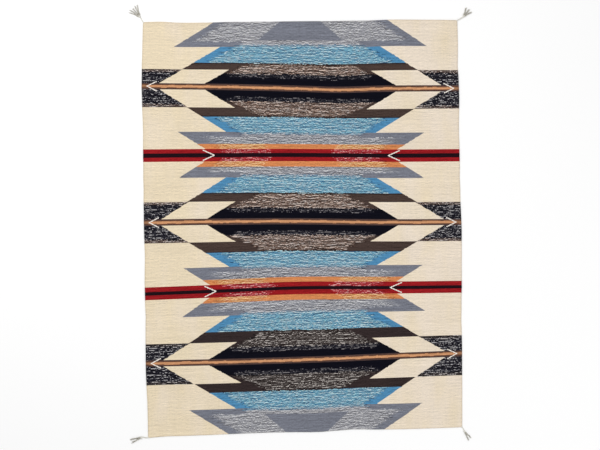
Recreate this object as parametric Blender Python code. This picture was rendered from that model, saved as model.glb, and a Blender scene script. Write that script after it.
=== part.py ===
# A flat-woven wool rug with a knotted yarn tassel at each corner.
# Metres, +Z up. The rug lies face up on z = 0, with its length along Y, and the origin is under its middle.

import math

import bmesh
import bpy
import numpy as np
from mathutils import Vector

MM = 0.001
UP = Vector((0, 0, 1))

# The woven cloth, in millimetres
RUG_WIDTH = 1520
RUG_LENGTH = 1970
CLOTH_THICKNESS = 4.0
SELVAGE_ROUND = 1.4
CORNER_ROUND = 6.0
CELLS_ACROSS = 16
CELLS_ALONG = 22

# How the hand-woven sides lie: at each place along the length, x of the left and the right selvage
SIDES = np.array(
    [
        (-990, -746, 770),
        (-848, -749, 770),
        (-712, -756, 770),
        (-577, -758, 770),
        (-400, -758, 766),
        (-307, -762, 768),
        (-130, -761, 768),
        (0, -766, 768),
        (120, -767, 763),
        (240, -768, 759),
        (370, -770, 758),
        (480, -770, 754),
        (600, -775, 756),
        (690, -777, 755),
        (775, -776, 749),
        (910, -773, 749),
        (990, -771, 746),
    ],
    dtype=[("along", "f8"), ("left", "f8"), ("right", "f8")],
)

# How the two ends lie: at each place across the width, y of the top and the bottom edge
ENDS = np.array(
    [
        (-765, 996, -1011),
        (-670, 998, -1003),
        (-600, 994, -1001),
        (-460, 994, -996),
        (-330, 997, -990),
        (-200, 998, -985),
        (-60, 1000, -983),
        (60, 1001, -982),
        (150, 1001, -975),
        (210, 1002, -970),
        (340, 1004, -970),
        (430, 1008, -969),
        (560, 1008, -966),
        (680, 1007, -962),
        (765, 1006, -959),
    ],
    dtype=[("across", "f8"), ("top", "f8"), ("bottom", "f8")],
)

# The tassels, in millimetres. A neck is plied of three cords, which show as its twist.
NECK_GAP = 0.4
NECK_LEAVES = 7
NECK_WIDTH = 5.2
NECK_STEPS = 12
PLIES = 3
PLY_DEPTH = 0.16
PLY_TURN = 18
YARN_WIDTH = 2.5
YARN_PITCH = 2.8
YARN_TIP = 0.75
YARN_STEPS = 6
YARN_SWAY = 1.6
LENGTH_SPREAD = 0.12

# The knot and the waist under it: how far past the neck's end, how wide and how high, and how square
KNOT = np.array(
    [
        (1.5, 7.6, 6.8, 0.0),
        (4.0, 10.4, 8.6, 0.0),
        (6.5, 10.6, 8.4, 0.0),
        (9.0, 8.2, 6.6, 0.3),
    ],
    dtype=[("past", "f8"), ("width", "f8"), ("height", "f8"), ("square", "f8")],
)
SKIRT_PAST = 13

# Each tassel: the corner that it leaves, where its neck bends and ends as seen from that corner, the way
# its yarn ends point and how far they fan out in degrees, their length, and how they stand at the root
TASSELS = (
    {
        "name": "tassel_top_left",
        "corner": (-1, 1),
        "bend": (-7, 13),
        "end": (-14, 24),
        "heading": 127,
        "fan": 72,
        "length": 46,
        "columns": 7,
        "rows": 2,
    },
    {
        "name": "tassel_top_right",
        "corner": (1, 1),
        "bend": (17, 5),
        "end": (28, 15),
        "heading": 50,
        "fan": 64,
        "length": 35,
        "columns": 7,
        "rows": 2,
    },
    {
        "name": "tassel_bottom_left",
        "corner": (-1, -1),
        "bend": (-15, 1),
        "end": (-27, 4),
        "heading": 202,
        "fan": 12,
        "length": 48,
        "columns": 4,
        "rows": 3,
    },
    {
        "name": "tassel_bottom_right",
        "corner": (1, -1),
        "bend": (7, -8),
        "end": (9, -17),
        "heading": -55,
        "fan": 16,
        "length": 38,
        "columns": 4,
        "rows": 3,
    },
)

# Colours and roughness of the wool
CREAM_WOOL = (0.78, 0.69, 0.53, 1.0)
WHITE_YARN = (0.80, 0.77, 0.70, 1.0)
WOOL_ROUGHNESS = 0.95


def clear_scene():
    for old in list(bpy.data.objects):
        bpy.data.objects.remove(old, do_unlink=True)


def make_wool(name, color):
    material = bpy.data.materials.new(name)
    material.use_nodes = True
    shader = material.node_tree.nodes["Principled BSDF"]
    shader.inputs["Base Color"].default_value = color
    shader.inputs["Roughness"].default_value = WOOL_ROUGHNESS
    shader.inputs["Metallic"].default_value = 0.0
    return material


def add_object(name, bm, material):
    """Turns a body drawn in millimetres into an object in metres."""
    bmesh.ops.recalc_face_normals(bm, faces=bm.faces)
    bmesh.ops.scale(bm, vec=(MM, MM, MM), verts=bm.verts)
    mesh = bpy.data.meshes.new(name)
    bm.to_mesh(mesh)
    bm.free()
    mesh.shade_smooth()
    mesh.set_sharp_from_angle(angle=math.radians(40))
    mesh.materials.append(material)
    bpy.context.scene.collection.objects.link(bpy.data.objects.new(name, mesh))


def lie(across, along):
    """Where a point of the cloth lies, as across and along run from -1 to 1 over the rug."""
    x = across * RUG_WIDTH / 2
    y = along * RUG_LENGTH / 2
    left = np.interp(y, SIDES["along"], SIDES["left"])
    right = np.interp(y, SIDES["along"], SIDES["right"])
    bottom = np.interp(x, ENDS["across"], ENDS["bottom"])
    top = np.interp(x, ENDS["across"], ENDS["top"])
    return Vector((left + (right - left) * (across + 1) / 2, bottom + (top - bottom) * (along + 1) / 2, 0))


def is_rim(edge):
    """Whether an edge runs round the cloth's upper or lower face."""
    level = abs(edge.verts[0].co.z - edge.verts[1].co.z) < CLOTH_THICKNESS / 2
    return level and edge.calc_face_angle() > math.radians(60)


def make_rug(wool):
    """The cloth: cells laid between the sides and the ends, made as thick as the weave, with a round selvage."""
    bm = bmesh.new()
    bmesh.ops.create_grid(bm, x_segments=CELLS_ACROSS, y_segments=CELLS_ALONG, size=1)
    for vert in bm.verts:
        vert.co = lie(vert.co.x, vert.co.y)
    corners = [vert for vert in bm.verts if len(vert.link_edges) == 2]
    bmesh.ops.bevel(bm, geom=corners, offset=CORNER_ROUND, segments=3, profile=0.5, affect="VERTICES")
    raised = bmesh.ops.extrude_face_region(bm, geom=bm.faces[:])
    upper = [part for part in raised["geom"] if isinstance(part, bmesh.types.BMVert)]
    bmesh.ops.translate(bm, vec=(0, 0, CLOTH_THICKNESS), verts=upper)
    rims = [edge for edge in bm.edges if is_rim(edge)]
    bmesh.ops.bevel(bm, geom=rims, offset=SELVAGE_ROUND, segments=2, profile=0.5, affect="EDGES")
    add_object("rug", bm, wool)


def cell_border(columns, rows):
    """The points round a block of cells that runs from -1 to 1 both ways, in order."""
    lower = [(2 * i / columns - 1, -1) for i in range(columns)]
    right = [(1, 2 * j / rows - 1) for j in range(rows)]
    upper = [(1 - 2 * i / columns, 1) for i in range(columns)]
    left = [(-1, 1 - 2 * j / rows) for j in range(rows)]
    return lower + right + upper + left


def add_ring(bm, places, middle, ahead, size, square=0, turn=None):
    """A ring of points that stands on the floor across the way ahead.

    It is round where square is 0 and a block's border where it is 1. A turn, in radians, draws it in
    between the plies of a cord.
    """
    sideways = ahead.cross(UP).normalized()
    width, height = size
    ring = []
    for x, y in places:
        reach = square + (1 - square) / math.hypot(x, y)
        if turn is not None:
            reach *= 1 - PLY_DEPTH * (1 - math.cos(PLIES * (math.atan2(y, x) - turn))) / 2
        lifted = (y * reach + 1) * height / 2
        ring.append(bm.verts.new(middle + sideways * (x * reach * width / 2) + UP * lifted))
    return ring


def neck_point(row, corner, way_out, t):
    """A point of the smooth curve that leaves the corner straight, passes the bend and reaches the knot."""
    start = corner + way_out * (NECK_GAP - CORNER_ROUND * (math.sqrt(2) - 1))
    leaves = start + way_out * NECK_LEAVES
    bend = corner + Vector((*row["bend"], 0))
    end = corner + Vector((*row["end"], 0))
    s = 1 - t
    return start * s**3 + leaves * (3 * s**2 * t) + bend * (3 * s * t**2) + end * t**3


def add_neck(bm, row, places):
    """The twisted neck's rings, and where it ends."""
    corner = lie(*row["corner"])
    way_out = Vector((*row["corner"], 0)).normalized()
    points = [neck_point(row, corner, way_out, i / NECK_STEPS) for i in range(NECK_STEPS + 1)]
    rings = []
    walked = 0
    for i, point in enumerate(points):
        before = points[max(i - 1, 0)]
        after = points[min(i + 1, NECK_STEPS)]
        ahead = way_out if i == 0 else after - before
        walked += (point - before).length
        turn = 2 * math.pi * walked / PLY_TURN
        rings.append(add_ring(bm, places, point, ahead, (NECK_WIDTH, NECK_WIDTH), turn=turn))
    return rings, points[-1]


def yarn_path(row, root, ahead, column, level, rng):
    """The way of one yarn end over the floor, or over the yarns under it until there is room to lie down.

    Yields the middle, the half width and the half height at each step.
    """
    columns = row["columns"]
    spread = math.radians(row["fan"]) / columns
    shift = 0.5 * (level % 2)
    side = (column + 0.5 + shift) / columns - 0.5
    heading = math.radians(row["heading"] - row["fan"] * side)
    reach = row["length"] * (1 - LENGTH_SPREAD * rng.random())
    far = root + Vector((math.cos(heading), math.sin(heading), 0)) * reach
    bend = root + ahead * reach * 0.35
    settles = 2.2 * YARN_WIDTH / spread
    sway = YARN_SWAY * math.sin(1.7 * column + level)
    for step in range(1, YARN_STEPS + 1):
        t = step / YARN_STEPS
        middle = root * (1 - t) ** 2 + bend * (2 * t * (1 - t)) + far * t**2
        middle += ahead.cross(UP) * (sway * math.sin(2.2 * math.pi * t) * t)
        half = YARN_WIDTH / 2 * (1 - (1 - YARN_TIP) * t)
        lowered = min(max((reach * t - settles) / (0.3 * row["length"]), 0), 1)
        floor = level * YARN_PITCH * (1 - lowered)
        yield Vector((middle.x, middle.y, floor + half)), half


def draw_out_yarn(bm, cell, path, ahead):
    """Draws a cell of the skirt's face out into one four-sided yarn end."""
    bmesh.ops.inset_individual(bm, faces=[cell], thickness=(YARN_PITCH - YARN_WIDTH) / 2, use_even_offset=True)
    last = cell.calc_center_median()
    sideways = ahead.cross(UP).normalized()
    for middle, half in path:
        grown = bmesh.ops.extrude_discrete_faces(bm, faces=[cell])["faces"][0]
        flow = (middle - last).normalized()
        new_sideways = flow.cross(UP).normalized()
        for vert in grown.verts:
            offset = vert.co - last
            right = math.copysign(half, offset.dot(sideways))
            lift = math.copysign(half, offset.z)
            vert.co = middle + new_sideways * right + UP * lift
        cell, last, sideways = grown, middle, new_sideways


def make_tassel(row, yarn):
    """One tassel: the twisted neck, the knot and the skirt as one skin, with a yarn end from each of its cells."""
    columns, rows = row["columns"], row["rows"]
    rng = np.random.default_rng(abs(row["heading"]))
    heading = math.radians(row["heading"])
    ahead = Vector((math.cos(heading), math.sin(heading), 0))
    places = cell_border(columns, rows)
    bm = bmesh.new()
    rings, knot = add_neck(bm, row, places)
    for stage in KNOT:
        size = (stage["width"], stage["height"])
        rings.append(add_ring(bm, places, knot + ahead * stage["past"], ahead, size, stage["square"]))
    skirt = (columns * YARN_PITCH, rows * YARN_PITCH)
    face_middle = knot + ahead * SKIRT_PAST
    rings.append(add_ring(bm, places, face_middle, ahead, skirt, square=1))
    for first, second in zip(rings, rings[1:]):
        for i in range(len(places)):
            j = (i + 1) % len(places)
            bm.faces.new((first[i], first[j], second[j], second[i]))
    bm.faces.new(rings[0])

    sideways = ahead.cross(UP)
    grid = {(round((x + 1) * columns / 2), round((y + 1) * rows / 2)): v for (x, y), v in zip(places, rings[-1])}
    for i in range(1, columns):
        for j in range(1, rows):
            inner = face_middle + sideways * ((i - columns / 2) * YARN_PITCH) + UP * (j * YARN_PITCH)
            grid[i, j] = bm.verts.new(inner)
    for i in range(columns):
        for j in range(rows):
            cell = bm.faces.new((grid[i, j], grid[i + 1, j], grid[i + 1, j + 1], grid[i, j + 1]))
            root = cell.calc_center_median()
            draw_out_yarn(bm, cell, yarn_path(row, root, ahead, i, j, rng), ahead)
    add_object(row["name"], bm, yarn)


clear_scene()
make_rug(make_wool("cream wool", CREAM_WOOL))
white_yarn = make_wool("white wool yarn", WHITE_YARN)
for tassel in TASSELS:
    make_tassel(tassel, white_yarn)
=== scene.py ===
# A flat-woven wool rug with a knotted yarn tassel at each corner, seen from straight above on a studio floor.
# Metres, +Z up. The rug lies on z = 0, its warps run along Y and its wefts along X.

import math

import bpy
import numpy as np
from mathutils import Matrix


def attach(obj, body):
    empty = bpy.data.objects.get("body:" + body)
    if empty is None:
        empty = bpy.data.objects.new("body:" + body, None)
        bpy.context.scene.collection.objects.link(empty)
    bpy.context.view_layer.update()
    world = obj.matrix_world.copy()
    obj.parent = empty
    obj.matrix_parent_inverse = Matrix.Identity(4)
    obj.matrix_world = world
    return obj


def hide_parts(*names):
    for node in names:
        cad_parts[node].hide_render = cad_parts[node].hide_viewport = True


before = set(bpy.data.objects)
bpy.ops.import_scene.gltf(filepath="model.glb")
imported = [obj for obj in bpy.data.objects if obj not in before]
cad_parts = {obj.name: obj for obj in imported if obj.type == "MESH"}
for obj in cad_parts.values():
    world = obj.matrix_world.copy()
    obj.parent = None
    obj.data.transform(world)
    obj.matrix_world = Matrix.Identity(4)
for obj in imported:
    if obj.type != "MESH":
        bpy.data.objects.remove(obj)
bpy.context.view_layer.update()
mm = 0.001
print("frame:", ", ".join(sorted(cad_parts)))


# Camera, light and floor

studio = {
    "pixelsAcross": 600,
    "pixel": 4.83 * mm,  # how much of the rug one pixel of the photograph shows
    "middle": (-12.6 * mm, 16.9 * mm),  # what the photograph's middle looks at
    "lens": 85,
    "sensor": 36,
    "skyStrength": 0.64,
    "keyPower": 96,
    "keySize": 2.6,
    "keyPlace": (-2.1, 2.3, 4.2),
    "fillPower": 46,
    "fillPlace": (2.6, -2.0, 3.8),
    "floorColour": (254, 254, 254),
    "floorSize": 14,
    "floorGap": 0.3 * mm,  # how far under the rug the floor lies
}


def linearColour(colour):
    # a colour as it is seen, 0 to 255, turned into the light that a surface sends back
    seen = np.array(colour) / 255
    linear = np.where(seen <= 0.04045, seen / 12.92, ((seen + 0.055) / 1.055) ** 2.4)
    return (*linear.tolist(), 1.0)


def addAreaLight(name, place, power, size):
    # a square soft box that looks at the rug's middle
    lamp = bpy.data.lights.new(name, "AREA")
    lamp.energy = power
    lamp.size = size
    box = bpy.data.objects.new(name, lamp)
    box.location = place
    box.rotation_euler = (-box.location).to_track_quat("-Z", "Y").to_euler()
    box.visible_camera = False
    bpy.context.scene.collection.objects.link(box)


def makeStudio():
    # the camera stands so high that the sensor's width sees what the photograph's width does
    scene = bpy.context.scene
    view = bpy.data.cameras.new("camera")
    view.lens = studio["lens"]
    view.sensor_width = studio["sensor"]
    view.clip_end = 50
    camera = bpy.data.objects.new("camera", view)
    away = studio["pixelsAcross"] * studio["pixel"] * studio["lens"] / studio["sensor"]
    camera.location = (*studio["middle"], away)
    scene.collection.objects.link(camera)
    scene.camera = camera
    scene.view_settings.view_transform = "Standard"

    world = bpy.data.worlds.new("even sky")
    world.use_nodes = True
    sky = world.node_tree.nodes["Background"]
    sky.inputs["Color"].default_value = (1, 1, 1, 1)
    sky.inputs["Strength"].default_value = studio["skyStrength"]
    scene.world = world
    addAreaLight("key box", studio["keyPlace"], studio["keyPower"], studio["keySize"])
    addAreaLight("fill box", studio["fillPlace"], studio["fillPower"], studio["keySize"])

    half = studio["floorSize"] / 2
    low = -studio["floorGap"]
    corners = [(-half, -half, low), (half, -half, low), (half, half, low), (-half, half, low)]
    mesh = bpy.data.meshes.new("floor")
    mesh.from_pydata(corners, [], [(0, 1, 2, 3)])
    floor = bpy.data.objects.new("floor", mesh)
    paint = bpy.data.materials.new("pale floor")
    paint.use_nodes = True
    shader = paint.node_tree.nodes["Principled BSDF"]
    shader.inputs["Base Color"].default_value = linearColour(studio["floorColour"])
    shader.inputs["Roughness"].default_value = 0.9
    shader.inputs["Specular IOR Level"].default_value = 0.1
    mesh.materials.append(paint)
    scene.collection.objects.link(floor)


makeStudio()
print("studio: camera", [round(c, 3) for c in bpy.context.scene.camera.location])


# Shader helpers

def feed(tree, socket, value):
    # a socket takes another socket's output, or a plain value
    if isinstance(value, bpy.types.NodeSocket):
        tree.links.new(value, socket)
    else:
        socket.default_value = value


def calculator(tree):
    # gives calc, with which calc("ADD", a, b) is one Math node on numbers or outputs
    def calc(operation, *values, clamp=False):
        made = tree.nodes.new("ShaderNodeMath")
        made.operation = operation
        made.use_clamp = clamp
        for socket, value in zip(made.inputs, values):
            feed(tree, socket, value)
        return made.outputs[0]

    return calc


def mixColour(tree, mask, below, above, blend="MIX"):
    # below where the mask is 0, above where it is 1
    made = tree.nodes.new("ShaderNodeMix")
    made.data_type = "RGBA"
    made.blend_type = blend
    feed(tree, made.inputs[0], mask)
    feed(tree, made.inputs[6], below)
    feed(tree, made.inputs[7], above)
    return made.outputs[2]


def vectorOf(tree, x, y, z=0.0):
    # one vector from three numbers or outputs
    made = tree.nodes.new("ShaderNodeCombineXYZ")
    for socket, value in zip(made.inputs, (x, y, z)):
        feed(tree, socket, value)
    return made.outputs[0]


def noiseOf(tree, vector, scale, detail=2.0, roughness=0.5):
    # cloudy noise, 0 to 1 with most of it near 0.5
    made = tree.nodes.new("ShaderNodeTexNoise")
    feed(tree, made.inputs["Vector"], vector)
    made.inputs["Scale"].default_value = scale
    made.inputs["Detail"].default_value = detail
    made.inputs["Roughness"].default_value = roughness
    return made.outputs["Fac"]


def randomOf(tree, value):
    # a random 0 to 1 that stays the same for the same value
    made = tree.nodes.new("ShaderNodeTexWhiteNoise")
    made.noise_dimensions = "1D"
    feed(tree, made.inputs["W"], value)
    return made.outputs["Value"]


def rampOf(tree, value, stops, kind="LINEAR"):
    # a ramp's outputs from its stops, each a place and the red, green, blue and alpha there
    made = tree.nodes.new("ShaderNodeValToRGB")
    made.color_ramp.interpolation = kind
    elements = made.color_ramp.elements
    while len(elements) < len(stops):
        elements.new(1.0)
    for element, (place, *colour) in zip(elements, stops):
        element.position = place
        element.color = colour
    feed(tree, made.inputs["Fac"], value)
    return made.outputs


def shadesOf(tree, value, stops):
    # a ramp of colours from stops that are each a place and a colour as it is seen
    stops = [(place, *linearColour(colour)) for place, *colour in stops]
    return rampOf(tree, value, stops)["Color"]


def newGroup(name, inputs, outputs):
    # A node group of numbers: Across and Along for the place on the wool, named inputs with their values, and
    # named outputs. Gives its tree and the sockets of its two ends.
    tree = bpy.data.node_groups.new(name, "ShaderNodeTree")
    for label, value in {"Across": 0.0, "Along": 0.0, **inputs}.items():
        socket = tree.interface.new_socket(label, in_out="INPUT", socket_type="NodeSocketFloat")
        socket.default_value = value
    for label in outputs:
        tree.interface.new_socket(label, in_out="OUTPUT", socket_type="NodeSocketFloat")
    return tree, tree.nodes.new("NodeGroupInput").outputs, tree.nodes.new("NodeGroupOutput").inputs


def useGroup(tree, group, **values):
    # places a group, each value under its input's name without the spaces
    made = tree.nodes.new("ShaderNodeGroup")
    made.node_tree = group
    for socket in made.inputs:
        key = socket.name[0].lower() + socket.name[1:].replace(" ", "")
        if key in values:
            feed(tree, socket, values[key])
    return made.outputs


# Shader groups

def makeWeave():
    # Weft beads over the warp ribs. A bead is as high as the sine of the way along it, to the power of 0.6,
    # times the sine of the way across its rib, to the power of 0.5. On every other rib the beads are shifted
    # by half a bead. Tone is a random shade for each weft pass.
    tree, given, made = newGroup(
        "tapestry weave",
        {"Warp Pitch": 3.2 * mm, "Weft Pitch": 2.0 * mm},
        ["Height", "Tone"],
    )
    calc = calculator(tree)
    ribs = calc("DIVIDE", given["Across"], given["Warp Pitch"])
    rib = calc("FLOOR", ribs)
    crown = calc("SINE", calc("MULTIPLY", calc("FRACT", ribs), math.pi))
    shift = calc("MULTIPLY", calc("FLOORED_MODULO", rib, 2.0), 0.5)
    passes = calc("ADD", calc("DIVIDE", given["Along"], given["Weft Pitch"]), shift)
    swell = calc("SINE", calc("MULTIPLY", calc("FRACT", passes), math.pi))
    height = calc("MULTIPLY", calc("POWER", swell, 0.6), calc("POWER", crown, 0.5))
    tree.links.new(height, made["Height"])
    tree.links.new(randomOf(tree, calc("FLOOR", passes)), made["Tone"])
    return tree


def makeHeather():
    # The streaks of a marled yarn: rows of noise drawn out along the weft, and bent a little by the way the
    # wefts were beaten in. The noise of the next row is taken off each row's own, so that one is light where
    # the other is dark, as the two strands of a marled yarn take turns. Shade is that times Contrast, about a
    # middle of 0.42 to 0.58 that each row has of its own. Tint says where a second hue shows, and Reach is a
    # random -0.5 to 0.5 for each row.
    tree, given, made = newGroup(
        "marled yarn",
        {"Streak": 90 * mm, "Row": 3.6 * mm, "Waver": 14 * mm, "Contrast": 4.7},
        ["Shade", "Tint", "Reach"],
    )
    calc = calculator(tree)
    bends = noiseOf(tree, vectorOf(tree, given["Across"], calc("MULTIPLY", given["Along"], 0.7)), 9.0, 1.0)
    bent = calc("MULTIPLY_ADD", calc("SUBTRACT", bends, 0.5), given["Waver"], given["Along"])
    row = calc("FLOOR", calc("DIVIDE", bent, given["Row"]))
    walked = calc("DIVIDE", given["Across"], given["Streak"])

    def streaksOf(number, salt):
        # noise along the weft that starts anew for each number
        start = calc("MULTIPLY", randomOf(tree, calc("ADD", number, salt)), 90.0)
        place = vectorOf(tree, calc("ADD", walked, start), calc("MULTIPLY", number, 7.31), salt * 10)
        return calc("SUBTRACT", noiseOf(tree, place, 1.0, 5.0, 0.97), 0.5)

    streaks = calc("SUBTRACT", streaksOf(row, 0.5), streaksOf(calc("ADD", row, 1.0), 0.5))
    lot = calc("MULTIPLY_ADD", randomOf(tree, calc("ADD", row, 0.37)), 0.16, 0.42)
    tree.links.new(calc("MULTIPLY_ADD", streaks, given["Contrast"], lot, clamp=True), made["Shade"])
    tree.links.new(calc("MULTIPLY_ADD", streaksOf(row, 0.8), 4.0, 0.5, clamp=True), made["Tint"])
    tree.links.new(calc("SUBTRACT", randomOf(tree, calc("ADD", row, 0.61)), 0.5), made["Reach"])
    return tree


def makeWool():
    # fine fibre noise drawn out along the yarn, and patches of dye: slow noise with ridges along the warps
    tree, given, made = newGroup(
        "hand-spun wool", {"Fibre": 5 * mm, "Patch": 160 * mm}, ["Fibres", "Patches"]
    )
    calc = calculator(tree)

    def finer(size, across, along):
        # the place in cells of that size, so many times finer across and along
        x = calc("DIVIDE", calc("MULTIPLY", given["Across"], across), size)
        return vectorOf(tree, x, calc("DIVIDE", calc("MULTIPLY", given["Along"], along), size))

    tree.links.new(noiseOf(tree, finer(given["Fibre"], 1.0, 4.0), 1.0, 3.0, 0.7), made["Fibres"])
    slow = noiseOf(tree, finer(given["Patch"], 1.0, 1.0), 1.0, 3.0, 0.55)
    ridges = noiseOf(tree, finer(given["Patch"], 22.0, 1.6), 1.0, 2.0, 0.6)
    tree.links.new(calc("MULTIPLY", calc("ADD", slow, ridges), 0.5), made["Patches"])
    return tree


weaveGroup = makeWeave()
heatherGroup = makeHeather()
woolGroup = makeWool()
print("node groups:", len(bpy.data.node_groups))


# Wool materials

def newWool(name, uvName):
    # a material, its tree and the two outputs of its uv map
    material = bpy.data.materials.new(name)
    material.use_nodes = True
    tree = material.node_tree
    uv = tree.nodes.new("ShaderNodeUVMap")
    uv.uv_map = uvName
    split = tree.nodes.new("ShaderNodeSeparateXYZ")
    tree.links.new(uv.outputs["UV"], split.inputs[0])
    return material, tree, split.outputs[0], split.outputs[1]


def shaded(tree, colour, value, blend="MULTIPLY"):
    # a colour times one number, or plus it
    return mixColour(tree, 1.0, colour, vectorOf(tree, value, value, value), blend)


def surfaceOf(tree, colour, height, fibres, look):
    # Roughness is a share of the fibres plus a rest, and the bump is the height plus a share of the fibres
    calc = calculator(tree)
    shader = tree.nodes["Principled BSDF"]
    tree.links.new(colour, shader.inputs["Base Color"])
    tree.links.new(calc("MULTIPLY_ADD", fibres, *look["roughness"]), shader.inputs["Roughness"])
    bump = tree.nodes.new("ShaderNodeBump")
    bump.inputs["Strength"].default_value = look["bumpStrength"]
    bump.inputs["Distance"].default_value = look["bumpHeight"]
    bumps = calc("ADD", height, calc("MULTIPLY", fibres, look["fibreHeight"]))
    tree.links.new(bumps, bump.inputs["Height"])
    tree.links.new(bump.outputs["Normal"], shader.inputs["Normal"])
    for name, value in look["surface"].items():
        shader.inputs[name].default_value = value


# Meshes from whole arrays

def addPiece(name, points, faces, material, uv, uvName, nodeName):
    # an object at the origin from its points, its faces and each point's uv place, in place of a frame's node
    mesh = bpy.data.meshes.new(name)
    mesh.from_pydata(points.tolist(), [], faces)
    layer = mesh.uv_layers.new(name=uvName)
    corner = np.empty(len(mesh.loops), dtype=np.int32)
    mesh.loops.foreach_get("vertex_index", corner)
    layer.data.foreach_set("uv", uv[corner].ravel())
    mesh.shade_smooth()
    mesh.materials.append(material)
    piece = bpy.data.objects.new(name, mesh)
    bpy.context.scene.collection.objects.link(piece)
    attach(piece, "root")
    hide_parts(nodeName)
    print(name, len(points), "points,", len(faces), "faces")
    return piece


def gridFaces(index):
    # the quads between the rows and columns of a grid of point numbers
    return np.stack([index[:-1, :-1], index[:-1, 1:], index[1:, 1:], index[1:, :-1]], axis=-1).reshape(-1, 4)


# The rug

rug = {
    "width": 1526 * mm,
    "thickness": 4.0 * mm,
    "ribs": 475,
    "ribDepth": 0.42 * mm,  # how far the cloth dips between two ribs, on each face
    "cordRound": 2.1 * mm,  # half the thickness of the selvage and end cords
    # painted shade on the edge cords: a pale grey that their colour is multiplied by
    "cordShade": (240, 238, 235),
    "cornerRound": 6 * mm,
    "cockle": 0.9 * mm,  # how far the cloth lifts off the floor in slow waves
    "sway": 1.0 * mm,  # how far a selvage wanders in and out between the places in the table
    "rowsToAStretch": 6,  # rows of points between two of the lines below
    "cordAngles": [0, 35, 65, 95, 125, 148],  # where round an edge cord its points lie
    # where the selvages lie: y, x of the left and of the right one, and how far the warps between them bow
    "sides": np.array([
        (-990, -746, 770, 10), (-848, -749, 770, 9), (-712, -756, 770, 7), (-577, -758, 770, 5),
        (-400, -758, 766, 2), (-307, -762, 768, 0), (-130, -761, 768, 0), (0, -766, 768, 0),
        (120, -767, 763, 0), (240, -768, 759, 0), (370, -770, 758, 0), (480, -770, 754, 0),
        (600, -775, 756, 0), (690, -777, 755, 0), (775, -776, 749, 0), (910, -773, 749, 0),
        (990, -771, 746, 0),
    ]) * mm,
    # where the ends lie: x, and y of the top and of the bottom one
    "ends": np.array([
        (-765, 996, -1011), (-670, 998, -1003), (-600, 994, -1001), (-460, 994, -996), (-330, 997, -990),
        (-200, 998, -985), (-60, 1000, -983), (60, 1001, -982), (150, 1001, -975), (210, 1002, -970),
        (340, 1004, -970), (430, 1008, -969), (560, 1008, -966), (680, 1007, -962), (765, 1006, -959),
    ]) * mm,
    # where the wefts of the five stripes lie, which tilt and bow: y at each of these places across
    "stripePlaces": np.array([-765, -399, -13, 181, 374, 765]) * mm,
    "stripes": np.array([
        (-652, -645, -634, -627, -618, -602),
        (-317, -302, -286, -285, -285, -281),
        (28, 33, 35, 32, 30, 31),
        (351, 354, 355, 354, 352, 354),
        (688, 684, 675, 669, 674, 677),
    ]) * mm,
    # how much cloth is woven from the bottom end to each stripe and to the top end
    "woven": np.array([0, 349, 686, 1011, 1332, 1659, 1978]) * mm,
}
rug["length"] = float(rug["woven"][-1])


def smoothTable(places, values, at):
    # a Catmull-Rom curve through a table's places, with the slopes of its neighbours at each place
    slopes = np.gradient(values, places)
    k = np.clip(np.searchsorted(places, at) - 1, 0, len(places) - 2)
    span = places[k + 1] - places[k]
    t = np.clip((at - places[k]) / span, 0, 1)
    rise = (2 * t**3 - 3 * t**2 + 1) * values[k] + (3 * t**2 - 2 * t**3) * values[k + 1]
    return rise + span * ((t**3 - 2 * t**2 + t) * slopes[k] + (t**3 - t**2) * slopes[k + 1])


def layCloth(across, along):
    # Where a place of the weave lies. y runs between the two nearest stripes or ends by how much is woven,
    # and x runs from the left to the right selvage at that y, plus the bow, most in the middle. Three sine
    # waves along y make the selvages wander.
    x = across * rug["width"]
    stripes = [smoothTable(rug["stripePlaces"], stripe, x) for stripe in rug["stripes"]]
    bottom = smoothTable(rug["ends"][:, 0], rug["ends"][:, 2], x)
    top = smoothTable(rug["ends"][:, 0], rug["ends"][:, 1], x)
    lines = np.stack([bottom, *stripes, top])
    woven = along * rug["length"]
    k = np.clip(np.searchsorted(rug["woven"], woven) - 1, 0, len(rug["woven"]) - 2)
    share = (woven - rug["woven"][k]) / (rug["woven"][k + 1] - rug["woven"][k])
    lower = np.take_along_axis(lines, k[None], axis=0)[0]
    upper = np.take_along_axis(lines, k[None] + 1, axis=0)[0]
    y = lower + (upper - lower) * share
    wander = rug["sway"] * (np.sin(71 * y) + np.sin(113 * y + 1.7) + np.sin(173 * y + 0.4)) / 3
    left = smoothTable(rug["sides"][:, 0], rug["sides"][:, 1], y) + wander
    right = smoothTable(rug["sides"][:, 0], rug["sides"][:, 2], y) + wander[..., ::-1]
    bow = smoothTable(rug["sides"][:, 0], rug["sides"][:, 3], y) * (1 - 4 * across**2)
    return left + (right - left) * (across + 0.5) + bow, y


def cordHalf(edgeWay):
    # half the height of a round cord at each distance in from the rug's edge, and past it the cord's radius,
    # which is more than half the cloth
    radius = rug["cordRound"]
    inside = np.sqrt(np.maximum(radius**2 - (radius - edgeWay) ** 2, 0))
    return np.where(edgeWay < 1.85 * radius, inside, radius)


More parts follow.
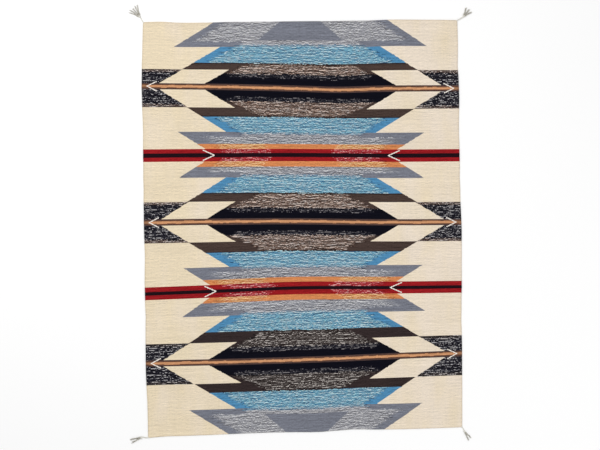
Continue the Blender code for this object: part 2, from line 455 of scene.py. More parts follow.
def makeRug(material):
    # The weave as a closed sheet: one grid for the face and one for the back, which share their border.
    # Half the thickness is that of the warp ribs, or of the cords along the edges where those are thinner.
    width, length, radius = rug["width"], rug["length"], rug["cordRound"]
    cordSteps = radius * (1 - np.cos(np.radians(rug["cordAngles"])))
    ribPlaces = np.linspace(0, width, 2 * rug["ribs"] + 1)
    ribPlaces = ribPlaces[(ribPlaces > 2 * radius) & (ribPlaces < width - 2 * radius)]
    acrossWay = np.concatenate([cordSteps, ribPlaces, width - cordSteps[::-1]])
    stretchRows = [
        np.linspace(start, end, rug["rowsToAStretch"], endpoint=False)
        for start, end in zip(rug["woven"], rug["woven"][1:])
    ]
    alongWay = np.concatenate([cordSteps, np.concatenate(stretchRows)[1:], length - cordSteps[::-1]])
    acrossGrid, alongGrid = np.meshgrid(acrossWay, alongWay)

    ribWave = np.cos(2 * np.pi * acrossGrid / width * rug["ribs"])
    half = rug["thickness"] / 2 - rug["ribDepth"] * (1 + ribWave) / 2
    sideWay = np.minimum(acrossGrid, width - acrossGrid)
    endWay = np.minimum(alongGrid, length - alongGrid)
    half = np.minimum(half, np.minimum(cordHalf(sideWay), cordHalf(endWay)))

    # corners: the square of each is pressed into the quarter of a disc
    bend = rug["cornerRound"]
    a = np.clip(1 - sideWay / bend, 0, 1)
    b = np.clip(1 - endWay / bend, 0, 1)
    sideIn = bend * a * (1 - np.sqrt(1 - b**2 / 2)) * np.sign(width / 2 - acrossGrid)
    endIn = bend * b * (1 - np.sqrt(1 - a**2 / 2)) * np.sign(length / 2 - alongGrid)
    x, y = layCloth(acrossGrid / width - 0.5, alongGrid / length)
    x = x + sideIn
    y = y + endIn

    # the cockle: slow waves, in radians to a metre
    slow = np.sin(7.1 * x + 2.3 * y) * np.sin(5.3 * y - 1.9 * x + 0.8) + 0.5 * np.sin(13 * x - 9 * y + 2)
    lift = rug["cockle"] * np.clip(0.5 + slow / 2.6, 0, 1)
    middle = rug["thickness"] / 2 + lift
    face = np.stack([x, y, middle + half], axis=-1)
    back = np.stack([x, y, middle - half], axis=-1)

    rows, columns = x.shape
    faceIndex = np.arange(rows * columns).reshape(rows, columns)
    backIndex = faceIndex.copy()
    inner = np.arange((rows - 2) * (columns - 2)).reshape(rows - 2, columns - 2)
    backIndex[1:-1, 1:-1] = rows * columns + inner
    points = np.concatenate([face.reshape(-1, 3), back[1:-1, 1:-1].reshape(-1, 3)])
    faces = np.concatenate([gridFaces(faceIndex), gridFaces(backIndex)[:, ::-1]])
    place = np.stack([acrossGrid / width, alongGrid / length], axis=-1)
    uv = np.concatenate([place.reshape(-1, 2), place[1:-1, 1:-1].reshape(-1, 2)])
    piece = addPiece("rug_cloth", points, faces.tolist(), material, uv, "OFBake", "rug")


# The rug's wool: the weaver's chart and its yarns

chart = {
    # Each stretch between two lines of the weave, from the bottom end up: the number of the line where its
    # dark stripe lies, and in mm how far from there the block, the brown and the blue reach. Then the slanted
    # edges of the bands and of the wing: how far from the middle each starts, and how many mm each mm of
    # weaving brings it in.
    "stretches": [
        (1, 103, 147, 227, 696, 1.57, 566, 1.54),
        (1, 94, 142, 219, 704, 1.57, 588, 1.55),
        (3, 95, 145, 213, 709, 1.66, 575, 1.56),
        (3, 98, 139, 214, 710, 1.62, 590, 1.60),
        (5, 99, 142, 214, 704, 1.59, 597, 1.63),
        (5, 86, 119, 197, 710, 1.64, 612, 1.56),
    ],
    # dark stripes: how far their orange, rust and umber reach from the middle, and how they waver
    "stripe": (5.6 * mm, 9.5 * mm, 15.5 * mm),
    "stripeWaver": 7 * mm,
    "stripeWaves": 22.0,  # to a metre
    # steps of a slanted edge: how much weaving from one to the next, and how far they miss the slant
    "turn": 6 * mm,
    "jag": 3 * mm,
    # slanted edges: how far out they stand at a dark stripe, and how far each mm of weaving brings them in
    "blockEdge": (703 * mm, 1.62),
    "figureEdge": (485 * mm, 1.70),
    "fleckEdge": (251 * mm, -1.73),
    "brownEdge": (489 * mm, 2.1),
    # ragged limits of marled yarns: how far a streak moves them along the warp, how many times as far
    # across, and how far each row moves them across
    "rag": 11 * mm,
    "ragAcross": 2.0,
    "rowRag": 34 * mm,
    # the ground's two fleeces: patches to a metre across and along, how sharply they part, and the paler
    # one's share, which grows to the right
    "fleecePatches": (9.0, 3.0),
    "fleeceContrast": 2.6,
    "fleeceLean": (0.5, 0.42),
    # the hem of a block and the brown in it, how far the black reaches and where its flecks start, and the
    # last plain rows of brown and how ragged they are
    "hemWide": 13 * mm,
    "hemBrown": 0.6,
    "blackEnds": 68 * mm,
    "flecksFrom": 49 * mm,
    "brownHem": 5 * mm,
    "brownRag": 0.7,
    "blueStrip": 62 * mm,  # plain blue along a band's slanted edge
    # grey wings: the plain strip along the slanted edge and its fade, the plain first rows, the marled
    # middle, and how far and how strongly the band's blue carries on in it
    "greyStrip": 58 * mm,
    "greyFade": 75 * mm,
    "greyHem": 28 * mm,
    "greyMiddle": (305 * mm, 0.8),
    "blueRest": 11 * mm,
    "blueRestShare": 0.7,
    # wings nearer to an end than this are marled right up to their strip, whiter, and have a plain keel
    "endWings": 340 * mm,
    "endWhite": 0.04,
    "keelStarts": 32 * mm,
    "keelEdge": (205 * mm, 1.18),
    # red bands: how far their orange, red and core reach from the middle, and where their marled parts lie
    "redBand": (55 * mm, 29.5 * mm, 9 * mm),
    "coreRag": 3 * mm,
    "warmInner": (133 * mm, -1.2),
    "warmOuter": (352 * mm, -1.5),
    # chevrons: how far out the point is, how far out the arms end, and how far they part there
    "darkChevron": (737 * mm, 691 * mm, 23 * mm),
    "redChevron": (419 * mm, 473 * mm, 24 * mm),
    "chevronHalf": 2.5 * mm,
    "chevronTip": 1.5 * mm,
}

# plain yarns have one colour, and marled ones a ramp over their streaks' shade, with a Tint for a second hue
yarns = {
    "cream": (231, 215, 186),
    "paleCream": (234, 220, 202),
    "white": (242, 235, 226),
    "orange": (205, 148, 106),
    "dullOrange": (156, 114, 84),
    "rust": (104, 70, 52),
    "umber": (80, 61, 57),
    "black": (5, 5, 18),
    "core": (26, 7, 16),
    "brown": (70, 56, 51),
    "darkBrown": (50, 40, 40),
    "blue": (78, 136, 176),
    "grey": (118, 121, 132),
    "marigold": (210, 134, 83),
    "red": (150, 23, 29),
    "brownHeather": [
        (0.0, 22, 18, 18), (0.3, 66, 58, 54), (0.5, 95, 86, 81), (0.75, 136, 126, 122), (1.0, 206, 198, 194),
    ],
    "brownHeatherTint": [
        (0.0, 34, 18, 14), (0.3, 80, 55, 45), (0.5, 110, 85, 72), (0.75, 154, 128, 113), (1.0, 218, 192, 175),
    ],
    "darkHeather": [
        (0.0, 14, 10, 11), (0.35, 42, 35, 33), (0.6, 75, 68, 65), (0.8, 118, 110, 107), (1.0, 190, 182, 177),
    ],
    "blackHeather": [
        (0.0, 7, 7, 17), (0.5, 13, 13, 23), (0.7, 46, 45, 53), (0.86, 80, 78, 83), (1.0, 128, 124, 126),
    ],
    "navyHeather": [
        (0.0, 2, 2, 11), (0.4, 12, 12, 22), (0.6, 29, 29, 38), (0.8, 66, 65, 72), (1.0, 176, 173, 175),
    ],
    "blueHeather": [
        (0.0, 56, 84, 104), (0.3, 94, 126, 148), (0.5, 118, 150, 168),
        (0.75, 150, 178, 192), (1.0, 210, 222, 226),
    ],
    "blueHeatherTint": [
        (0.0, 24, 80, 122), (0.3, 66, 126, 160), (0.52, 96, 158, 184),
        (0.78, 128, 186, 202), (1.0, 176, 216, 222),
    ],
    "greyHeather": [
        (0.0, 78, 79, 87), (0.3, 118, 119, 126), (0.5, 140, 141, 148),
        (0.78, 173, 174, 179), (1.0, 214, 214, 216),
    ],
    "orangeHeather": [(0.0, 164, 84, 48), (0.5, 203, 138, 98), (1.0, 240, 200, 166)],
    "orangeHeatherTint": [(0.0, 176, 104, 52), (0.5, 206, 150, 90), (1.0, 238, 206, 140)],
    "redHeather": [
        (0.0, 112, 10, 22), (0.4, 148, 32, 40), (0.62, 172, 60, 66), (0.8, 194, 94, 98), (1.0, 228, 162, 160),
    ],
}


def stretchValues(tree, along, rows):
    # four values, 0 to 1, for each stretch of the weave, looked up in a stepped ramp
    stops = [(start / rug["length"], *row) for start, row in zip(rug["woven"], rows)]
    table = rampOf(tree, calculator(tree)("DIVIDE", along, rug["length"]), stops, "CONSTANT")
    values = tree.nodes.new("ShaderNodeSeparateColor")
    tree.links.new(table["Color"], values.inputs["Color"])
    return (*values.outputs, table["Alpha"])


def drawChart(tree, across, along):
    # Colours the weave. Each band is laid over the last: a band is where the distance from its dark stripe
    # is within its reach, and where the distance from the middle is under its slanted edge.
    calc = calculator(tree)

    def under(value, limit):
        # 1 where the value is less than the limit, and 0 elsewhere
        return calc("LESS_THAN", value, limit)

    def minus(value, less):
        # value - less
        return calc("SUBTRACT", value, less)

    def over(value, limit):
        # 1 where under gives 0
        return minus(1.0, under(value, limit))

    def mix(mask, below, above):
        # above where the mask is 1
        return mixColour(tree, mask, below, above)

    def times(first, *others):
        # values times each other, or for masks 1 where all of them are
        for value in others:
            first = calc("MULTIPLY", first, value)
        return first

    def edge(name, way):
        # how far from the middle a slanted edge stands, so much weaving from where it starts
        start, slope = chart[name]
        return calc("MULTIPLY_ADD", way, -slope, start)

    # this stretch's dark stripe, reaches and slanted edges; slopes are looked up halved, to stay under 1
    reaches = []
    slants = []
    for number, block, brown, blue, bandStarts, bandSlope, wingStarts, wingSlope in chart["stretches"]:
        reaches.append((block * mm, brown * mm, blue * mm, rug["woven"][number] / rug["length"]))
        slants.append((bandStarts * mm, bandSlope / 2, wingStarts * mm, wingSlope / 2))
    blockEnds, brownEnds, blueEnds, stripeShare = stretchValues(tree, along, reaches)
    bandStarts, halfBandSlope, wingStarts, halfWingSlope = stretchValues(tree, along, slants)
    stripeLine = times(stripeShare, rug["length"])
    signedWay = minus(along, stripeLine)
    way = calc("ABSOLUTE", signedWay)

    # each turn of the wefts steps in or out a little
    turn = randomOf(tree, calc("FLOOR", calc("DIVIDE", along, chart["turn"])))
    jag = times(minus(turn, 0.5), chart["jag"])
    middleWay = calc("ABSOLUTE", across)
    out = calc("ADD", middleWay, jag)
    redLines = [rug["woven"][2], rug["woven"][4]]
    redWays = [calc("ABSOLUTE", minus(along, redLine)) for redLine in redLines]
    redWay = calc("MINIMUM", *redWays)
    endWay = calc("MINIMUM", along, minus(rug["length"], along))
    isEnd = under(endWay, chart["endWings"])
    isLow = under(along, redLines[0])

    # heathered yarns, with ragged limits: each row of them starts and stops at a place of its own
    heather = useGroup(tree, heatherGroup, across=across, along=along)
    shade = heather["Shade"]
    rag = times(minus(shade, 0.5), chart["rag"])
    raggedWay = calc("ADD", way, rag)
    ragAcross = times(rag, chart["ragAcross"])
    rowRag = calc("MULTIPLY_ADD", heather["Reach"], chart["rowRag"], ragAcross)
    raggedOut = calc("ADD", out, rowRag)

    def plain(name):
        # a yarn of one colour
        return linearColour(yarns[name])

    def marl(name):
        # a ramp over the streaks' shade, or two of them where the yarn has a second hue
        colour = shadesOf(tree, shade, yarns[name])
        if name + "Tint" in yarns:
            colour = mix(heather["Tint"], colour, shadesOf(tree, shade, yarns[name + "Tint"]))
        return colour

    # the ground, spun from two fleeces that follow each other in slow patches
    patchesAcross, patchesAlong = chart["fleecePatches"]
    patch = vectorOf(tree, times(across, patchesAcross), times(along, patchesAlong))
    fleece = minus(noiseOf(tree, patch, 1.0, 3.0), 0.5)
    lean = calc("MULTIPLY_ADD", across, *chart["fleeceLean"])
    fleece = calc("MULTIPLY_ADD", fleece, chart["fleeceContrast"], lean, clamp=True)
    colour = mix(fleece, plain("cream"), plain("paleCream"))

    # side blocks, hemmed in brown
    block = times(under(way, blockEnds), over(out, edge("blockEdge", way)))
    brownMarl = mix(isLow, marl("brownHeather"), marl("darkHeather"))
    navyMarl = marl("navyHeather")
    hem = over(raggedWay, minus(blockEnds, chart["hemWide"]))
    hemMarl = mix(chart["hemBrown"], navyMarl, brownMarl)
    colour = mix(block, colour, mix(hem, navyMarl, hemMarl))

    # the black figure, brown past its black
    pastBlack = over(raggedWay, chart["blackEnds"])
    brown = mix(isLow, plain("brown"), plain("darkBrown"))
    brownIn = times(pastBlack, under(raggedOut, edge("brownEdge", way)))
    brown = mix(brownIn, brown, brownMarl)
    flecks = times(over(raggedWay, chart["flecksFrom"]), under(raggedOut, edge("fleckEdge", way)))
    black = mix(flecks, plain("black"), marl("blackHeather"))
    figure = mix(pastBlack, black, brown)
    inFigure = times(under(way, blockEnds), under(out, edge("figureEdge", way)))
    colour = mix(inFigure, colour, figure)

    # brown and blue bands share one slanted edge
    bandEdge = minus(bandStarts, times(way, times(halfBandSlope, 2.0)))
    inBand = times(over(way, blockEnds), under(way, blueEnds), under(out, bandEdge))
    fromEdge = minus(bandEdge, raggedOut)
    blueMarl = marl("blueHeather")
    blue = mix(over(fromEdge, chart["blueStrip"]), plain("blue"), blueMarl)
    brownRag = times(rag, times(brownIn, chart["brownRag"]))
    pastBrown = minus(calc("ADD", way, brownRag), brownEnds)
    lastBrown = mix(over(pastBrown, -chart["brownHem"]), brown, plain("darkBrown"))
    band = mix(over(pastBrown, 0.0), lastBrown, blue)
    colour = mix(inBand, colour, band)

    # grey wings, heathered in the middle and past their hem
    pastBlue = minus(way, blueEnds)
    wingEdge = minus(wingStarts, times(pastBlue, times(halfWingSlope, 2.0)))
    inWing = times(over(pastBlue, 0.0), under(out, wingEdge))
    raggedPast = calc("ADD", pastBlue, rag)
    pastStrip = minus(minus(wingEdge, raggedOut), chart["greyStrip"])
    fade = calc("DIVIDE", pastStrip, chart["greyFade"], clamp=True)
    fade = calc("MAXIMUM", fade, times(isEnd, over(pastStrip, 0.0)))
    inside = times(over(raggedPast, chart["greyHem"]), fade)
    inMiddle = under(raggedOut, edge("greyMiddle", pastBlue))
    greyMarl = mix(times(isEnd, chart["endWhite"]), marl("greyHeather"), plain("white"))
    wing = mix(calc("MAXIMUM", inMiddle, inside), plain("grey"), greyMarl)
    blueRest = times(under(raggedPast, chart["blueRest"]), inMiddle, chart["blueRestShare"])
    wing = mix(blueRest, wing, blueMarl)

    # the plain keel of the end wings, and the orange that borders the red bands
    keelWay = minus(pastBlue, chart["keelStarts"])
    keel = times(over(keelWay, 0.0), under(out, edge("keelEdge", keelWay)), isEnd)
    wing = mix(keel, wing, plain("grey"))
    warm = times(over(raggedOut, edge("warmInner", redWay)), under(raggedOut, edge("warmOuter", redWay)))
    orange = mix(warm, plain("marigold"), marl("orangeHeather"))
    orangeEnds, redEnds, coreEnds = chart["redBand"]
    wing = mix(under(redWay, orangeEnds), wing, orange)
    colour = mix(inWing, colour, wing)

    # red bands, each with a dark core
    red = mix(warm, plain("red"), marl("redHeather"))
    colour = mix(under(redWay, redEnds), colour, red)
    coreWay = calc("ADD", redWay, times(heather["Reach"], chart["coreRag"]))
    colour = mix(under(coreWay, coreEnds), colour, plain("core"))

    # dark stripes, which waver a little along their way
    place = vectorOf(tree, times(across, chart["stripeWaves"]), stripeShare)
    waver = noiseOf(tree, place, 1.0, 1.0)
    wavered = calc("MULTIPLY_ADD", minus(waver, 0.5), chart["stripeWaver"], signedWay)
    wavered = calc("ABSOLUTE", wavered)
    stripe = mix(over(middleWay, chart["darkChevron"][0]), plain("orange"), plain("dullOrange"))
    orangeEnds, rustEnds, umberEnds = chart["stripe"]
    stripe = mix(over(wavered, orangeEnds), stripe, plain("rust"))
    stripe = mix(over(wavered, rustEnds), stripe, plain("umber"))
    colour = mix(under(way, umberEnds), colour, stripe)

    # chevrons: a line whose distance from the stripe grows from the point to the ends of the arms
    for name, stripeWay in (("darkChevron", way), ("redChevron", redWay)):
        point, tip, part = chart[name]
        arm = calc("MULTIPLY_ADD", middleWay, part / (tip - point), -point * part / (tip - point))
        onLine = under(calc("ABSOLUTE", minus(stripeWay, arm)), chart["chevronHalf"])
        onArm = calc("COMPARE", middleWay, (point + tip) / 2, abs(tip - point) / 2 + chart["chevronTip"])
        colour = mix(times(onLine, onArm), colour, plain("white"))
    return colour


finish = {
    "weftPitch": 2.0 * mm,
    "spin": {"streak": 100 * mm, "row": 5 * mm, "contrast": 2.4},  # uneven spinning of plain yarns
    # how much spinning, dye and weft passes change a dark yarn, and the power of its darkness in that
    "spun": 0.75,
    "dyed": 0.72,
    "toned": 0.12,
    "paleFades": 0.85,
    # brightness by the fibres, painted shade by the height of a bead (darker in the dips between beads), and
    # roughness by the fibres: a share and a rest
    "fibreShade": (0.24, 0.88),
    "beadShade": (0.12, 0.92),
    "roughness": (0.14, 0.84),
    "lint": 0.004,  # how much white fibre and painted fibre sheen is added on top
    "fibreHeight": 0.35,  # beside the height of a bead
    "bumpStrength": 0.6,
    "bumpHeight": 0.5 * mm,
    "surface": {"Specular IOR Level": 0.08, "Sheen Weight": 0.03},
}


def makeRugWool():
    # The chart is read once for each bead, so that colours change between warps. The colour is multiplied by
    # 1 plus the wool's unevenness, by the fibres, and by the height of the bead, which paints shade between
    # beads.
    material, tree, u, v = newWool("rug wool", "OFBake")
    calc = calculator(tree)
    across = calc("MULTIPLY", calc("SUBTRACT", u, 0.5), rug["width"])
    along = calc("MULTIPLY", v, rug["length"])
    warpPitch = rug["width"] / rug["ribs"]
    weftPitch = finish["weftPitch"]
    beadAcross = calc("ADD", calc("SNAP", across, warpPitch), warpPitch / 2)
    beadAlong = calc("ADD", calc("SNAP", along, weftPitch), weftPitch / 2)
    colour = drawChart(tree, beadAcross, beadAlong)

    # painted shade: the cords along the edges are multiplied by a pale grey, so they look a little shaded
    sideWay = calc("SUBTRACT", rug["width"] / 2, calc("ABSOLUTE", across))
    endWay = calc("MINIMUM", along, calc("SUBTRACT", rug["length"], along))
    onCord = calc("LESS_THAN", calc("MINIMUM", sideWay, endWay), 2 * rug["cordRound"])
    colour = mixColour(tree, onCord, colour, linearColour(rug["cordShade"]), "MULTIPLY")

    # the paler a yarn, the less its spinning and dyeing show
    weave = useGroup(tree, weaveGroup, across=across, along=along, warpPitch=warpPitch, weftPitch=weftPitch)
    wool = useGroup(tree, woolGroup, across=across, along=along)
    spin = useGroup(tree, heatherGroup, across=beadAcross, along=beadAlong, **finish["spin"])
    paleness = tree.nodes.new("ShaderNodeRGBToBW")
    tree.links.new(colour, paleness.inputs["Color"])
    uneven = calc("POWER", calc("SUBTRACT", 1.0, paleness.outputs["Val"]), finish["paleFades"])
    sources = (spin["Shade"], wool["Patches"], weave["Tone"])
    shares = (finish["spun"], finish["dyed"], finish["toned"])
    parts = [calc("MULTIPLY", calc("SUBTRACT", value, 0.5), share) for value, share in zip(sources, shares)]
    bright = calc("MULTIPLY_ADD", calc("ADD", calc("ADD", parts[0], parts[1]), parts[2]), uneven, 1.0)
    bright = calc("MULTIPLY", bright, calc("MULTIPLY_ADD", wool["Fibres"], *finish["fibreShade"]))
    # painted shade: the low parts of each bead, between the beads, are darker
    bright = calc("MULTIPLY", bright, calc("MULTIPLY_ADD", weave["Height"], *finish["beadShade"]))
    # white fibres and painted sheen: a little light added where the fibres and streaks are high
    lint = calc("MULTIPLY", calc("MULTIPLY", wool["Fibres"], spin["Shade"]), finish["lint"])
    colour = shaded(tree, shaded(tree, colour, bright), lint, "ADD")
    surfaceOf(tree, colour, weave["Height"], wool["Fibres"], finish)
    return material


makeRug(makeRugWool())


# The tassels

tassel = {
    # the neck: its start inside the cloth's corner, its way straight out, and its three cords
    "neckWidth": 5.2 * mm,
    "neckRoot": 5 * mm,
    "neckLeaves": 7 * mm,
    "neckInKnot": (2, 4, 6, 8),  # points of its end inside the knot, in mm
    "plyTurn": 18 * mm,
    "plyRound": 1.45 * mm,
    # the knot: its middle past the neck, the cord round it, and what the cord winds round
    "knotPast": 5.2 * mm,
    "knotTurns": 2.6,
    "knotStarts": 0.6,  # where round the knot the cord starts, in radians
    "knotLength": 6.0 * mm,
    "knotRound": 1.5 * mm,
    "knotHalfWidth": 3.7 * mm,
    "knotHalfHeight": 2.8 * mm,
    "coreLength": 9 * mm,
    "coreRound": 3.0 * mm,
    # the yarn ends: where they leave the knot, where they start in it and how much closer together
    "skirtPast": 13 * mm,
    "rootPast": 6 * mm,
    "rootGather": 0.4,
    "rootLift": 1.2 * mm,
    "yarnPitch": 2.8 * mm,
    "yarnWidth": 2.5 * mm,
    "yarnTip": 0.75,
    "strandShare": 0.56,  # how thick one of the two strands is
    "yarnTurn": 11 * mm,
    "yarnSway": 1.6 * mm,
    "lengthSpread": 0.24,
    "straight": 0.35,  # how much of its length a yarn end keeps to the tassel's way
    "gather": 0.78,  # how far the yarn ends draw together into bundles
    "curl": 5 * mm,  # how far the outer yarn ends turn back in at their tips
    "fray": 1.3,  # how much wider the two strands of a yarn end stand apart at its tip
    # the yarn: shades of loose ends and of wound cords
    "loose": [(0.3, 170, 165, 152), (0.7, 220, 216, 204)],
    "wound": [(0.3, 214, 211, 201), (0.7, 240, 238, 230)],
    "wool": {"fibre": 2.4 * mm, "patch": 18 * mm},
    "twistPlies": 3.0,
    "twistPitch": 3.2 * mm,
    # painted shade by the twist, darker between its ridges, brightness by the fibres, and roughness by the
    # fibres: a share and a rest
    "twistShade": (0.14, 0.88),
    "fibreShade": (0.2, 0.9),
    "roughness": (0.14, 0.84),
    "fibreHeight": 0.5,  # beside the height of the twist
    "bumpStrength": 0.7,
    "bumpHeight": 0.4 * mm,
    "surface": {"Specular IOR Level": 0.18, "Sheen Weight": 0.15},
}

# Each tassel: its node, the corner that it leaves, where its neck bends and ends from there in mm, the way of
# its yarn ends and how far they fan out in degrees, their length in mm, how many leave the knot side by side
# and in layers, and their bundles
tasselRows = [
    ("tassel_top_left", (-1, 1), (-7, 13), (-14, 24), 130, 74, 50, 8, 2, 5),
    ("tassel_top_right", (1, 1), (17, 5), (28, 15), 50, 78, 38, 6, 2, 3),
    ("tassel_bottom_left", (-1, -1), (-15, 1), (-27, 4), 200, 38, 50, 4, 2, 2),
    ("tassel_bottom_right", (1, -1), (7, -8), (9, -17), -55, 46, 40, 4, 2, 2),
]
upward = np.array([0, 0, 1])


def unitVectors(vectors):
    # each vector divided by its length
    return vectors / np.linalg.norm(vectors, axis=1, keepdims=True)


def axesOf(path):
    # for each point of a path: the way ahead, the level way across it, and the way up that is square to both
    ahead = unitVectors(np.gradient(path, axis=0))
    sideways = unitVectors(np.cross(ahead, upward))
    return ahead, sideways, np.cross(sideways, ahead)


def stepLengths(path):
    # how far it is from each point of a path to the next
    return np.linalg.norm(np.diff(path, axis=0), axis=1)


def walkedAlong(path):
    # how far along a path each of its points lies
    return np.concatenate([[0], np.cumsum(stepLengths(path))])


def bezier(points, t):
    # a cubic curve through its first and last point, drawn towards the two between
    s = 1 - t[:, None]
    t = t[:, None]
    return points[0] * s**3 + points[1] * 3 * s**2 * t + points[2] * 3 * s * t**2 + points[3] * t**3


def windRound(path, offset, turns, phase, squash=1.0):
    # a path that winds round another one, at an offset from it, so many turns in all
    _, sideways, above = axesOf(path)
    walked = walkedAlong(path)
    angle = 2 * np.pi * turns * walked / walked[-1] + phase
    offset = np.broadcast_to(offset, len(path))[:, None]
    return path + offset * (np.cos(angle)[:, None] * sideways + squash * np.sin(angle)[:, None] * above)


def tube(path, radius, sides=8):
    # A ring of points round each point of a path, in the plane across its way, closed by a point at each end.
    # Gives the points, the faces and (round, walked) for each point.
    steps = len(path)
    ahead, sideways, above = axesOf(path)
    walked = walkedAlong(path)
    turn = np.linspace(0, 2 * np.pi, sides, endpoint=False)
    radius = np.broadcast_to(radius, steps)
    ring = np.cos(turn)[None, :, None] * sideways[:, None] + np.sin(turn)[None, :, None] * above[:, None]
    points = (path[:, None] + radius[:, None, None] * ring).reshape(-1, 3)
    ends = np.array([path[0] - ahead[0] * radius[0] * 0.5, path[-1] + ahead[-1] * radius[-1] * 0.5])
    uv = np.stack(np.meshgrid(np.arange(sides) / sides, walked), axis=-1).reshape(-1, 2)

    index = np.arange(steps * sides).reshape(steps, sides)
    index = np.concatenate([index, index[:, :1]], axis=1)
    first, last = steps * sides, steps * sides + 1
    caps = [(first, int(b), int(a)) for a, b in zip(index[0], index[0][1:])]
    caps += [(last, int(a), int(b)) for a, b in zip(index[-1], index[-1][1:])]
    faces = gridFaces(index).tolist() + caps
    return np.concatenate([points, ends]), faces, np.concatenate([uv, [(0.5, 0), (0.5, walked[-1])]])


def joinTubes(tubes):
    # one set of points, faces and uv from several
    points, faces, uv = zip(*tubes)
    starts = np.cumsum([0] + [len(made) for made in points]).tolist()
    shifted = [[corner + start for corner in face] for start, made in zip(starts, faces) for face in made]
    return np.concatenate(points), shifted, np.concatenate(uv)


def windNeck(base, wayOut, bend, knot, ahead):
    # three cords wound round a curve, which leaves the cloth's corner, bends and ends in the knot
    middle = tassel["neckWidth"] / 2
    start = base - wayOut * tassel["neckRoot"]
    corners = [start, start + wayOut * tassel["neckLeaves"], bend, knot]
    line = bezier([point + upward * middle for point in corners], np.linspace(0, 1, 44))
    line = np.concatenate([line, [line[-1] + ahead * step * mm for step in tassel["neckInKnot"]]])
    turns = stepLengths(line).sum() / tassel["plyTurn"]
    offset = middle - tassel["plyRound"]
    phases = np.radians([90, 210, 330])
    return [tube(windRound(line, offset, turns, phase), tassel["plyRound"]) for phase in phases]


def wrapKnot(knot, ahead, height):
    # a cord wrapped round the neck's end, over an oval that slims towards both ends, and the core in it
    middle = knot + ahead * tassel["knotPast"]
    steps = np.linspace(-0.5, 0.5, 64)
    axis = middle + upward * height + steps[:, None] * tassel["knotLength"] * ahead
    swell = tassel["knotHalfWidth"] * (1 - 0.5 * (2 * steps) ** 4)
    squash = tassel["knotHalfHeight"] / tassel["knotHalfWidth"]
    cord = windRound(axis, swell, tassel["knotTurns"], tassel["knotStarts"], squash)
    coreSteps = np.linspace(-0.5, 0.62, 8)
    core = middle + upward * height * 0.95 + coreSteps[:, None] * tassel["coreLength"] * ahead
    slims = np.sqrt(1 - (coreSteps * 1.5) ** 2)
    return [tube(cord, tassel["knotRound"], 10), tube(core, tassel["coreRound"] * slims, 10)]


def twistYarn(path, half, phase):
    # a yarn end: two strands twisted together, that part at the tip, inside a path's half thickness
    strand = half * tassel["strandShare"]
    turns = stepLengths(path).sum() / tassel["yarnTurn"]
    offset = (half - strand) * (1 + tassel["fray"] * np.linspace(0, 1, len(path)) ** 12)
    return [tube(windRound(path, offset, turns, phase + part), strand, 6) for part in (0, np.pi)]


def fanYarnEnds(row, knot, ahead, height, rng):
    # Yarn ends, side by side and in layers. Each is a curve from its root to a far point, which its place in
    # the fan and its bundle give. The upper layer comes down once the fan leaves room.
    heading, fan, length, columns, layers, bundles = row[4:]
    pitch, width = tassel["yarnPitch"], tassel["yarnWidth"]
    sideways = np.cross(ahead, upward)
    settles = 2.2 * width / (math.radians(fan) / columns)
    t = np.linspace(0, 1, 26)[:, None]
    lead = np.linspace(0, 1, 6, endpoint=False)[:, None]
    tubes = []
    for column in range(columns):
        for layer in range(layers):
            side = (column + 0.5 + 0.5 * (layer % 2)) / (columns + 0.5) - 0.5
            bundle = (math.floor((side + 0.5) * bundles) + 0.5) / bundles - 0.5
            side = side + (bundle - side) * tassel["gather"]
            toward = math.radians(heading - fan * side)
            reach = length * mm * (1 - tassel["lengthSpread"] * rng.random())
            beside = sideways * ((column + 0.5 - columns / 2) * pitch)

            # the curve on the floor, which sways, and curls back at its tip
            root = knot + ahead * tassel["skirtPast"] + beside
            turned = root + ahead * reach * tassel["straight"]
            far = root + np.array([math.cos(toward), math.sin(toward), 0]) * reach
            flat = root * (1 - t) ** 2 + turned * 2 * t * (1 - t) + far * t**2
            sway = tassel["yarnSway"] * math.sin(1.7 * column + layer) * np.sin(2.2 * np.pi * t) * t
            flat = flat + sideways * (sway - 2 * side * tassel["curl"] * t**4)

            # its thickness, and its height over the floor
            half = width / 2 * (1 - (1 - tassel["yarnTip"]) * t[:, 0])
            lowered = np.clip((reach * t[:, 0] - settles) / (0.3 * length * mm), 0, 1)
            flat[:, 2] = layer * pitch * (1 - lowered * (1 - tassel["gather"])) + half

            # its start inside the knot
            lift = height * 0.9 + (layer - (layers - 1) / 2) * tassel["rootLift"]
            inner = knot + ahead * tassel["rootPast"] + beside * tassel["rootGather"] + upward * lift
            path = np.concatenate([inner * (1 - lead) + flat[0] * lead, flat])
            half = np.concatenate([np.full(len(lead), half[0]), half])
            tubes += twistYarn(path, half, 2 * np.pi * rng.random())
    return tubes


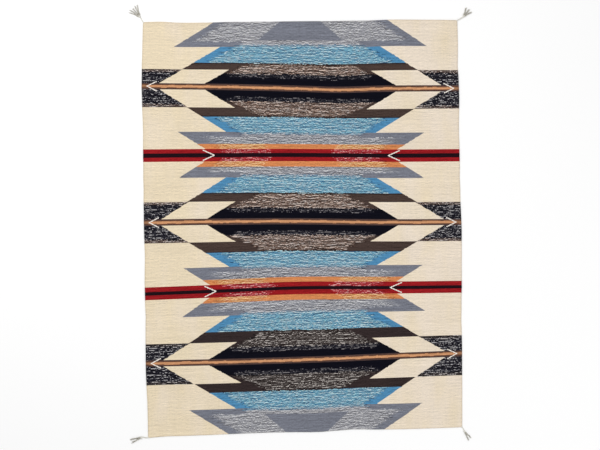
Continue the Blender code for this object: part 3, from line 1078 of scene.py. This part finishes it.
def makeTassel(row, material):
    # One mesh of neck, knot and yarn ends at a corner of the laid cloth. Its attribute cord is 1 on the neck
    # and knot, and 0 on the yarn ends.
    name, corner, bend, end, heading = row[:5]
    rng = np.random.default_rng(abs(heading))
    x, y = layCloth(np.array([[corner[0] / 2]]), np.array([[(corner[1] + 1) / 2]]))
    base = np.array([x[0, 0], y[0, 0], 0])
    wayOut = np.array([*corner, 0]) / math.sqrt(2)
    angle = math.radians(heading)
    ahead = np.array([math.cos(angle), math.sin(angle), 0])
    knot = base + np.array([*end, 0]) * mm
    height = tassel["knotHalfHeight"] + tassel["knotRound"]

    tubes = windNeck(base, wayOut, base + np.array([*bend, 0]) * mm, knot, ahead)
    tubes += wrapKnot(knot, ahead, height)
    cordPoints = sum(len(made[0]) for made in tubes)
    tubes += fanYarnEnds(row, knot, ahead, height, rng)
    points, faces, uv = joinTubes(tubes)
    points[:, 2] = np.maximum(points[:, 2], 0.05 * mm)
    piece = addPiece(name + "_yarn", points, faces, material, uv, "yarn", name)
    onCord = (np.arange(len(points)) < cordPoints).astype(np.float32)
    piece.data.attributes.new("cord", "FLOAT", "POINT").data.foreach_set("value", onCord)


def makeYarn():
    # The ridges of the twist are a sine over the way round the cord plus the way along it. The shade follows
    # patches of wool, is paler on wound cords, and has painted shade between the ridges.
    material, tree, u, v = newWool("off-white yarn", "yarn")
    calc = calculator(tree)
    around = calc("MULTIPLY", u, tassel["twistPlies"])
    walked = calc("DIVIDE", v, tassel["twistPitch"])
    twist = calc("SINE", calc("MULTIPLY", calc("ADD", around, walked), 2 * math.pi))
    ridge = calc("MULTIPLY_ADD", twist, 0.5, 0.5)

    spot = tree.nodes.new("ShaderNodeSeparateXYZ")
    tree.links.new(tree.nodes.new("ShaderNodeTexCoord").outputs["Object"], spot.inputs[0])
    wool = useGroup(tree, woolGroup, across=spot.outputs[0], along=spot.outputs[1], **tassel["wool"])
    onCord = tree.nodes.new("ShaderNodeAttribute")
    onCord.attribute_name = "cord"
    loose = shadesOf(tree, wool["Patches"], tassel["loose"])
    wound = shadesOf(tree, wool["Patches"], tassel["wound"])
    colour = mixColour(tree, onCord.outputs["Fac"], loose, wound)
    # painted shade: darker between the ridges of the twist
    paintedRidgeShade = calc("MULTIPLY_ADD", ridge, *tassel["twistShade"])
    bright = calc("MULTIPLY", paintedRidgeShade, calc("MULTIPLY_ADD", wool["Fibres"], *tassel["fibreShade"]))
    surfaceOf(tree, shaded(tree, colour, bright), ridge, wool["Fibres"], tassel)
    return material


yarnWool = makeYarn()
for row in tasselRows:
    makeTassel(row, yarnWool)
